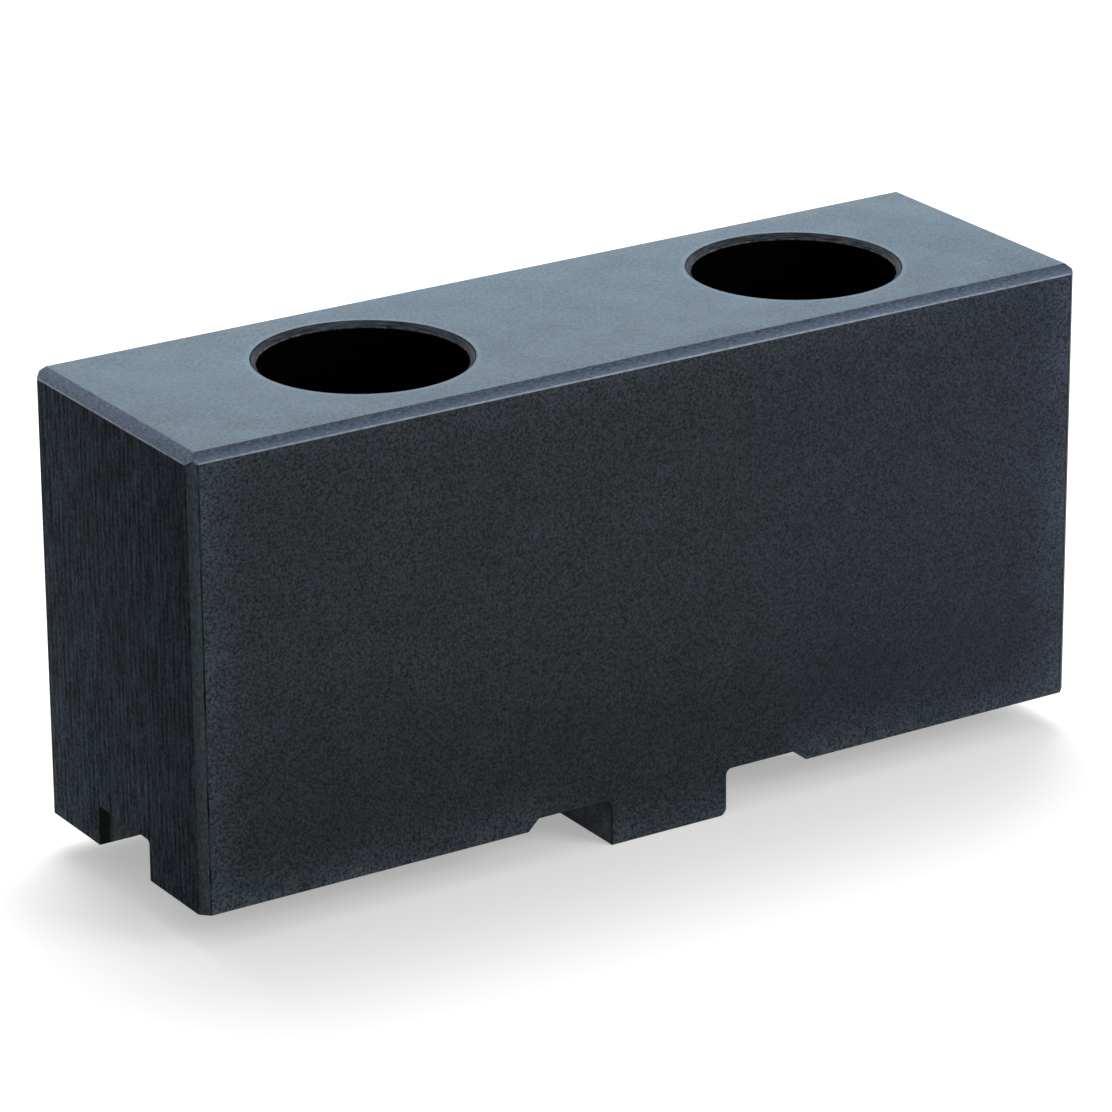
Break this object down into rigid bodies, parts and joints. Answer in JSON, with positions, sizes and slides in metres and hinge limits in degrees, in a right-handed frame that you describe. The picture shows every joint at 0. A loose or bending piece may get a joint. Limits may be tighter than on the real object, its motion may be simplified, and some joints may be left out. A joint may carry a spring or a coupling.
{
  "type": "machinable soft jaw",
  "caption": "Unhardened steel top jaw for a lathe chuck: a chamfered block with counterbored screw holes, a cross tongue and a lengthwise groove underneath.",
  "frame": {"origin": "on the seat plane, midway between the two screw holes, which is also the middle of the cross tongue", "axes": "+X along the jaw from the gripping end to the rear end, +Y across the jaw, +Z away from the base jaw that it is screwed to"},
  "size_m": [0.1289, 0.0388, 0.0632],
  "materials": {
    "blackened_steel": "matt black-oxide steel, ground on top, sawn on the ends"
  },
  "bodies": {
    "root": {"soft_jaw": "blackened_steel"}
  },
  "joints": []
}
